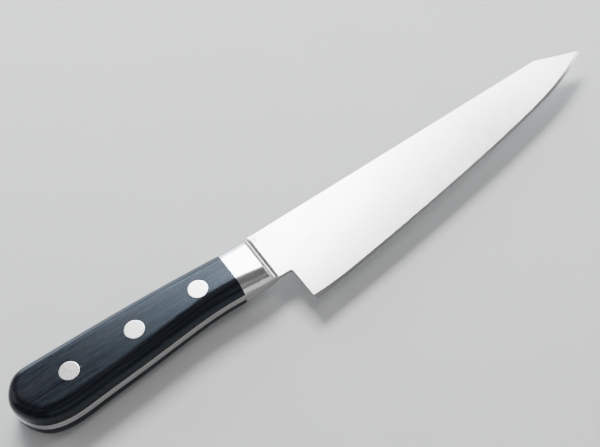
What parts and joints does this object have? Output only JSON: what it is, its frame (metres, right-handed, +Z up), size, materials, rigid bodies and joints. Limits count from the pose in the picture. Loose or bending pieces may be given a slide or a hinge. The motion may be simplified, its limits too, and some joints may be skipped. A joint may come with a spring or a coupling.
{
  "type": "boning knife",
  "caption": "Boning knife with a straight spine, angled tip, forged bolster, full tang and riveted black laminated wood scales, for taking meat off the bone.",
  "frame": {"origin": "centre of the knife's bounding box in plan, at the underside, with the knife lying on its left side", "axes": "+X along the spine towards the tip, +Y from the edge towards the spine, +Z up out of the right side of the blade"},
  "size_m": [0.2658, 0.0404, 0.0174],
  "materials": {
    "blade_steel": "fine satin, hand-honed bevel",
    "bolster_steel": "buffed bright satin",
    "scale_wood": "black resin-laminated wood, semi-gloss",
    "rivet_metal": "ground flush and buffed"
  },
  "bodies": {
    "root": {"blade": "blade_steel", "bolster_right": "bolster_steel", "bolster_left": "bolster_steel", "scale_right": "scale_wood", "scale_left": "scale_wood", "rivet_front_male": "rivet_metal", "rivet_front_female": "rivet_metal", "rivet_middle_male": "rivet_metal", "rivet_middle_female": "rivet_metal", "rivet_rear_male": "rivet_metal", "rivet_rear_female": "rivet_metal"}
  },
  "joints": []
}
